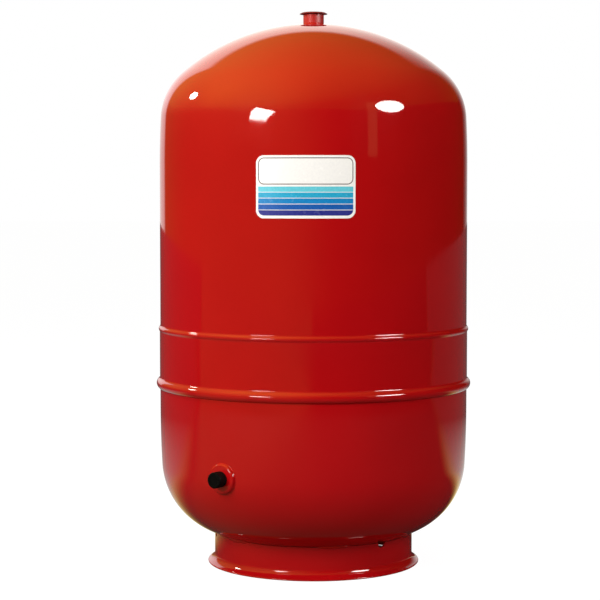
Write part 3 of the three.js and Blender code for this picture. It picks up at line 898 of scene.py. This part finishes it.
def protective_cap():
    floor = CAP_END - CAP_WALL
    sleeve_r, thread_r = 5.6, 4.15
    mouth = BOSS_FACE + 0.3
    wave = thread_wave(THREAD_8V1["pitch"], 0.35)
    steps = int((floor - HEX_FRONT - 1) / THREAD_8V1["pitch"] * 8)
    flutes = 40

    def shape(r, z, angle):
        if r > CAP_R - 0.05 and mouth + 2.2 < z < CAP_END - 2.2:
            return r - 0.32 * (0.5 + 0.5 * math.cos(angle * flutes))
        if same(r, thread_r) and HEX_FRONT + 1 < z < floor - 0.5:
            return r + wave(z, angle)
        return r

    hood_r = CAP_R - CAP_WALL
    sleeve_end = HEX_FRONT + 0.3
    outline = [(AXIS_R, floor), (thread_r, floor)]
    outline += line((thread_r, floor), (thread_r, HEX_FRONT + 0.7), steps)
    outline += [(thread_r + 0.4, sleeve_end), (sleeve_r - 0.3, sleeve_end), (sleeve_r, HEX_FRONT + 0.6)]
    outline += [(sleeve_r, floor - 0.4), (sleeve_r + 0.4, floor), (hood_r - 0.4, floor)]
    outline += [(hood_r, floor - 0.4), (hood_r, mouth + 0.3), (hood_r + 0.3, mouth)]
    outline += arc(CAP_R - 0.3, mouth + 0.3, 0.3, -90, 0, 3)
    outline += [(CAP_R, mouth + 2.1), (CAP_R, mouth + 2.3), (CAP_R, mouth + 2.8)]
    outline += [(CAP_R, CAP_END - 2.8), (CAP_R, CAP_END - 2.3), (CAP_R, CAP_END - 2.1)]
    outline += arc(CAP_R - 1.6, CAP_END - 1.6, 1.6, 0, 90, 8)
    outline += [(8.6, CAP_END), (8.2, CAP_END - 0.35), (AXIS_R, CAP_END - 0.45)]
    cap = place_outwards(turned("cap_hood", outline, CAP_PLASTIC, 240, shape))
    settle(cap, "cap", "black_plastic", "protective_cap")
    seal = band(PIN_R + 0.9, thread_r - 0.3, STEM_END + 0.3, floor - 0.3)
    small_ring("cap_washer_ring", seal, SEAL, "cap_washer", "seal_rubber", "cap_seal")


valve_boss()
valve_stem()
stem_gasket()
valve_core()
core_spring()
protective_cap()

# ---------- labels

FILM_R = TANK_R + 0.35
FILM_THICKNESS = 0.22
INK_STEP = 0.02
LABEL_AZIMUTH = -2.8
LABEL_HALF_WIDTH = 75.75
LABEL_PANEL_HEIGHT = 45.3  # the white panel's height, from the label's top edge
RATING_HALF_WIDTH = 55.0
SQUARE = (0, 0, 0, 0)


def rounded_rectangle(left, right, bottom, top, radii):
    """Outline counterclockwise from the lower right corner, with the corners' radii in that order."""
    corners = [
        (right, bottom, -90, -1, 1),
        (right, top, 0, -1, -1),
        (left, top, 90, 1, -1),
        (left, bottom, 180, 1, 1),
    ]
    points = []
    for (x, y, start, sx, sy), radius in zip(corners, radii):
        if radius <= 0:
            points.append((x, y))
        else:
            points += arc(x + sx * radius, y + sy * radius, radius, start, start + 90, 10)
    return points


def wrap(bm, azimuth, height, inner_r, thickness):
    """Bends a flat sheet in X and Y round the tank and gives it a thickness."""
    step = 4.0
    xs = [v.co.x for v in bm.verts]
    x = math.ceil(min(xs) / step) * step
    while x < max(xs):
        geometry = bm.verts[:] + bm.edges[:] + bm.faces[:]
        bmesh.ops.bisect_plane(bm, geom=geometry, plane_co=(x, 0, 0), plane_no=(1, 0, 0), dist=1e-5)
        x += step
    bmesh.ops.triangulate(bm, faces=bm.faces[:])
    extruded = bmesh.ops.extrude_face_region(bm, geom=bm.faces[:])
    lifted = {v for v in extruded["geom"] if isinstance(v, bmesh.types.BMVert)}
    for v in bm.verts:
        x, y = v.co.x, v.co.y
        radius = inner_r + (thickness if v in lifted else 0)
        angle = math.radians(azimuth) + x / TANK_R
        v.co = Vector((radius * math.sin(angle), -radius * math.cos(angle), height + y)) * MM


def sheet(name, outline, azimuth, height, inner_r, thickness, material, slot, node=None):
    bm = bmesh.new()
    bm.faces.new([bm.verts.new((x, y, 0)) for x, y in outline])
    wrap(bm, azimuth, height, inner_r, thickness)
    piece = finish_mesh(name, bm, material)
    settle(piece, "vessel", slot, *([node] if node else []))


def frame_sheet(name, outer, inner, azimuth, height, inner_r, thickness, material, slot):
    bm = bmesh.new()
    rims = [[bm.verts.new((x, y, 0)) for x, y in loop] for loop in (outer, inner)]
    bridge(bm, rims)
    wrap(bm, azimuth, height, inner_r, thickness)
    settle(finish_mesh(name, bm, material), "vessel", slot)


def front_label():
    low, high = node_box("front_label")
    azimuth = LABEL_AZIMUTH
    height = (low.z + high.z) / 2
    half_width, half_height = LABEL_HALF_WIDTH, (high.z - low.z) / 2
    body = rounded_rectangle(-half_width, half_width, -half_height, half_height, (12,) * 4)
    sheet("label_film", body, azimuth, height, FILM_R, FILM_THICKNESS, FILM, "printed_film", "front_label")
    ink_r = FILM_R + FILM_THICKNESS
    rim, width, corner, half_gap = 3.4, 1.3, 9, 1.5
    left, right = rim - half_width, half_width - rim
    bottom, top = rim - half_height, half_height - rim
    panel_bottom = half_height - LABEL_PANEL_HEIGHT
    panel_low = panel_bottom + half_gap
    outer = rounded_rectangle(left, right, panel_low, top, (corner,) * 4)
    low_edge, high_edge = panel_low + width, top - width
    inner = rounded_rectangle(left + width, right - width, low_edge, high_edge, (corner - width,) * 4)
    frame_sheet("label_border", outer, inner, azimuth, height, ink_r, INK_STEP, OUTLINE_INK, "printed_film")
    pitch = (panel_bottom - half_gap - bottom) / len(STRIPE_INKS)
    for i, ink in enumerate(STRIPE_INKS):
        low_y = bottom + pitch * i
        radii = (corner, 0, 0, corner) if i == 0 else SQUARE
        stripe = rounded_rectangle(left, right, low_y + 0.9, low_y + pitch, radii)
        sheet(f"label_stripe_{i + 1}", stripe, azimuth, height, ink_r, INK_STEP, ink, "printed_film")


def rating_label():
    low, high = node_box("rating_label")
    height = (low.z + high.z) / 2
    half_width, half_height = RATING_HALF_WIDTH, (high.z - low.z) / 2
    body = rounded_rectangle(-half_width, half_width, -half_height, half_height, (4,) * 4)
    sheet("rating_foil", body, 180, height, FILM_R, FILM_THICKNESS, FOIL, "silver_foil", "rating_label")
    ink_r = FILM_R + FILM_THICKNESS
    margin, half_rule, rows = 6, 0.35, 7
    left, right = margin - half_width, half_width - margin
    bottom, top = margin - half_height, half_height - margin
    pitch = (2 * half_height - 2 * margin) / rows
    for i in range(rows + 1):
        y = bottom + pitch * i
        rule = rounded_rectangle(left, right, y - half_rule, y + half_rule, SQUARE)
        sheet(f"rating_rule_{i + 1}", rule, 180, height, ink_r, INK_STEP, GREY_INK, "silver_foil")
    for k, x in enumerate((left, -8.0, right)):
        post = rounded_rectangle(x - half_rule, x + half_rule, bottom, top, SQUARE)
        sheet(f"rating_post_{k + 1}", post, 180, height, ink_r + 0.001, INK_STEP, GREY_INK, "silver_foil")


front_label()
rating_label()

# ---------- studio

GLOSS_DISTANCE = 3.5
SOFT_DISTANCE = 2.8
SOFT_TARGET = (0, 0, 0.6)
SOFT_WHITE = (1, 0.985, 0.965)
FLOOR_R = 30.0


def area_light(name, anchor, azimuth, elevation, distance, size, power, colour, shape="RECTANGLE"):
    """An area light in a direction from a point, facing it."""
    data = bpy.data.lights.new(name, "AREA")
    data.shape = shape
    data.size, data.size_y = size
    data.energy = power
    data.color = colour
    lamp = bpy.data.objects.new(name, data)
    towards = direction(azimuth, elevation)
    lamp.location = Vector(anchor) + towards * distance
    lamp.rotation_euler = towards.to_track_quat("Z", "Y").to_euler()
    bpy.context.scene.collection.objects.link(lamp)
    return lamp


def soft_light(name, azimuth, elevation, strength, size=1.5):
    """A large soft light that isn't seen in the gloss. A white card facing it glows with that strength."""
    power = strength * (math.pi * SOFT_DISTANCE) ** 2
    sizes = (size, size)
    lamp = area_light(name, SOFT_TARGET, azimuth, elevation, SOFT_DISTANCE, sizes, power, SOFT_WHITE)
    lamp.visible_glossy = False


def gloss_light(name, anchor, azimuth, elevation, size, radiance, colour):
    """A round lamp whose reflection is seen in the gloss, and which lights nothing else."""
    power = radiance * size[0] * size[1] * math.pi**2 / 4
    lamp = area_light(name, anchor, azimuth, elevation, GLOSS_DISTANCE, size, power, colour, "ELLIPSE")
    lamp.visible_diffuse = False


class NodeMath:
    """Small helpers that chain value nodes in one node tree."""

    def __init__(self, tree):
        self.nodes, self.links = tree.nodes, tree.links

    def put(self, socket, value):
        if isinstance(value, (int, float, tuple)):
            socket.default_value = value
        else:
            self.links.new(value, socket)

    def math(self, operation, first, second=0.0):
        node = self.nodes.new("ShaderNodeMath")
        node.operation = operation
        self.put(node.inputs[0], first)
        self.put(node.inputs[1], second)
        return node.outputs[0]

    def ramp(self, source, low, high, low_value=0.0, high_value=1.0, smooth=True):
        node = self.nodes.new("ShaderNodeMapRange")
        node.interpolation_type = "SMOOTHSTEP" if smooth else "LINEAR"
        set_range(node, low, high, low_value, high_value)
        self.put(node.inputs["Value"], source)
        return node.outputs["Result"]

    def mix(self, factor, first, second):
        node = self.nodes.new("ShaderNodeMix")
        node.data_type = "RGBA"
        self.put(node.inputs["Factor"], factor)
        for name, value in (("A", first), ("B", second)):
            self.put([s for s in node.inputs if s.name == name and s.type == "RGBA"][0], value)
        return [s for s in node.outputs if s.type == "RGBA"][0]

    def chain(self, operation, values):
        result = values[0]
        for value in values[1:]:
            result = self.math(operation, result, value)
        return result

    def product(self, *values):
        return self.chain("MULTIPLY", values)

    def total(self, *values):
        return self.chain("ADD", values)

    def length(self, x, y):
        return self.math("SQRT", self.total(self.product(x, x), self.product(y, y)))

    def axes(self, space):
        """X, Y and Z of the Generated or Object coordinates."""
        coordinates = self.nodes.new("ShaderNodeTexCoord")
        split = self.nodes.new("ShaderNodeSeparateXYZ")
        self.links.new(coordinates.outputs[space], split.inputs["Vector"])
        return [split.outputs[axis] for axis in "XYZ"]

    def add_shaders(self, first, second):
        both = self.nodes.new("ShaderNodeAddShader")
        self.links.new(first.outputs[0], both.inputs[0])
        self.links.new(second.outputs[0], both.inputs[1])
        return both.outputs[0]


BACKDROP_WHITE = (1.4, 1.38, 1.36, 1)
ROOM_TINT = (1.3, 1.0, 0.25, 1)
GLOW_TINT = (1.4, 1.0, 0.06, 1)
GLOW_CENTRE = (-0.42, -0.2)


def behind_mask(kit, x, y):
    """How much of the white backdrop is in a direction, from its back azimuth alone."""
    bearing = kit.math("ARCTAN2", x, y)
    left = kit.ramp(bearing, math.radians(-36), math.radians(-31))
    right = kit.ramp(bearing, 0.0, math.radians(34), 1.0, 0.0)
    return kit.product(left, right)


def make_world():
    world = bpy.data.worlds.new("studio")
    bpy.context.scene.world = world
    world.use_nodes = True
    kit = NodeMath(world.node_tree)
    x, y, z = kit.axes("Generated")
    low_fade = kit.ramp(z, 0.0, 0.18, 0.62, 1.0)
    backdrop = kit.product(behind_mask(kit, x, y), kit.ramp(z, 0.56, 0.64, 1.0, 0.0), low_fade)
    left_side = kit.product(kit.ramp(x, 0.35, -0.45, 0.03, 0.2), kit.ramp(y, -0.3, 0.4, 1.0, 0.6))
    upper_left = kit.product(kit.ramp(x, 0.1, -0.7), kit.ramp(z, 0.02, 0.3, 0.0, 0.3))
    warmth = kit.total(left_side, upper_left, kit.ramp(z, 0.3, 0.9, 0.0, 0.08))
    dim_room = kit.mix(warmth, (0, 0, 0, 1), ROOM_TINT)
    room = kit.mix(backdrop, dim_room, BACKDROP_WHITE)
    paths = kit.nodes.new("ShaderNodeLightPath")
    soft = kit.mix(kit.ramp(z, -0.1, 0.3), (0.05, 0.05, 0.05, 1), (0.34, 0.335, 0.33, 1))
    lit = kit.mix(paths.outputs["Is Diffuse Ray"], room, soft)
    seen = kit.mix(paths.outputs["Is Camera Ray"], lit, (1.0, 1.0, 1.0, 1))
    kit.links.new(seen, kit.nodes["Background"].inputs["Color"])


def make_floor():
    bm = bmesh.new()
    bmesh.ops.create_circle(bm, cap_ends=True, cap_tris=False, segments=96, radius=FLOOR_R)
    material = bpy.data.materials.new("floor_paper")
    material.use_nodes = True
    kit = NodeMath(material.node_tree)
    kit.nodes.remove(kit.nodes["Principled BSDF"])

    def paper(colour, glow, tint=(1, 1, 1, 1)):
        diffuse = kit.nodes.new("ShaderNodeBsdfDiffuse")
        diffuse.inputs["Color"].default_value = colour
        emission = kit.nodes.new("ShaderNodeEmission")
        kit.put(emission.inputs["Strength"], glow)
        kit.put(emission.inputs["Color"], tint)
        return kit.add_shaders(diffuse, emission)

    x, y, _ = kit.axes("Object")
    distance = kit.length(x, y)
    depth = kit.math("SUBTRACT", y, kit.ramp(x, -0.3, 0.3, 0.0, 0.17))
    fade = kit.ramp(distance, 0.6, 2.0, 1.0, 0.08, smooth=False)
    sweep = kit.product(kit.ramp(depth, 0.0, 0.28), fade, kit.ramp(x, -0.6, 0.3, 0.6, 0.92))
    front = kit.product(kit.ramp(x, 0.3, -1.0, 0.0, 0.16), kit.ramp(y, 0.1, -0.2))
    paths = kit.nodes.new("ShaderNodeLightPath")
    bounced = kit.product(paths.outputs["Is Diffuse Ray"], 0.11)
    mirrored = kit.product(kit.total(sweep, front), paths.outputs["Is Glossy Ray"])
    glow = kit.total(bounced, mirrored)
    tint = kit.mix(kit.ramp(depth, 0.05, 0.5), ROOM_TINT, (1, 1, 0.95, 1))
    reflected = paper((0.06, 0.06, 0.06, 1), glow, tint)
    # Seen by the camera the floor glows evenly white, but not inside the base ring: there the glow drops to
    # nothing, a painted shade under the vessel that shows through the vents.
    camera_floor_painted_shade = paper((0.12, 0.12, 0.12, 1), kit.ramp(distance, 0.16, 0.172, 0.0, 0.95))
    choice = kit.nodes.new("ShaderNodeMixShader")
    kit.links.new(paths.outputs["Is Camera Ray"], choice.inputs["Fac"])
    kit.links.new(reflected, choice.inputs[1])
    kit.links.new(camera_floor_painted_shade, choice.inputs[2])
    kit.links.new(choice.outputs[0], kit.nodes["Material Output"].inputs["Surface"])
    floor = new_object("floor", to_mesh("floor", bm), material)


def gloss_sheet(name, corners, colour, strength):
    """A flat glowing sheet that is only seen in the gloss. strength(kit, x, y) gives its glow."""
    bm = bmesh.new()
    bm.faces.new([bm.verts.new(corner) for corner in corners])
    material = bpy.data.materials.new(name + "_light")
    material.use_nodes = True
    kit = NodeMath(material.node_tree)
    kit.nodes.remove(kit.nodes["Principled BSDF"])
    x, y, _ = kit.axes("Object")
    emission = kit.nodes.new("ShaderNodeEmission")
    emission.inputs["Color"].default_value = colour
    kit.put(emission.inputs["Strength"], strength(kit, x, y))
    clear = kit.nodes.new("ShaderNodeBsdfTransparent")
    glow = kit.add_shaders(emission, clear)
    kit.links.new(glow, kit.nodes["Material Output"].inputs["Surface"])
    sheet_object = new_object(name, to_mesh(name, bm), material)
    sheet_object.visible_camera = False
    sheet_object.visible_diffuse = False
    sheet_object.visible_shadow = False


def warm_glow(kit, x, y):
    """The glow over the dome: strongest over its left shoulder and fading evenly from there."""
    across = kit.math("SUBTRACT", x, GLOW_CENTRE[0])
    along = kit.math("SUBTRACT", y, GLOW_CENTRE[1])
    fade = kit.ramp(kit.length(across, along), 0.05, 0.85, 0.8, 0.12, smooth=False)
    return kit.product(fade, kit.ramp(y, -0.3, 0.1, 1.0, 0.45))


def gloss_card(name, anchor, corners, radiance, colour):
    """A glowing card whose corners lie in the given azimuths and elevations from a point."""
    points = [Vector(anchor) + direction(*corner) * GLOSS_DISTANCE for corner in corners]
    gloss_sheet(name, points, colour, lambda kit, x, y: radiance)


def make_lights():
    soft_light("key_left", -45, 20, 0.92)
    soft_light("side_left", -88, 45, 0.34, 0.5)
    soft_light("front_fill", 42, 20, 0.4)
    soft_light("side_right", 90, 18, 0.08)
    warm_white = (1, 0.97, 0.93, 1)
    left_point, right_point = (-0.076, -0.238, 0.712), (0.114, -0.222, 0.722)
    softbox = [(-43.6, 15.8), (-48.1, 6.8), (-34.9, 6.8), (-27.5, 9.4)]
    gloss_card("softbox_left", left_point, softbox, 30, warm_white)
    streak = [(39.5, 24), (39.5, 0.8), (47, 0.8), (48, 24)]
    gloss_card("streak", right_point, streak, 0.32, (1.3, 1, 0.4, 1))
    gloss_light("softbox_right", right_point, 59.5, 16.8, (1.5, 1.05), 26, warm_white[:3])
    gloss_light("flash_left", (-0.184, -0.162, 0.742), -111.0, 24.0, (0.5, 0.46), 45, (1, 0.93, 0.82))
    gloss_sheet("warm_glow", [(-1.4, -1.4, 1), (1, -1.4, 1), (1, 1, 1), (-1.4, 1, 1)], GLOW_TINT, warm_glow)


make_world()
make_floor()
make_lights()
bpy.context.scene.view_settings.view_transform = "Standard"
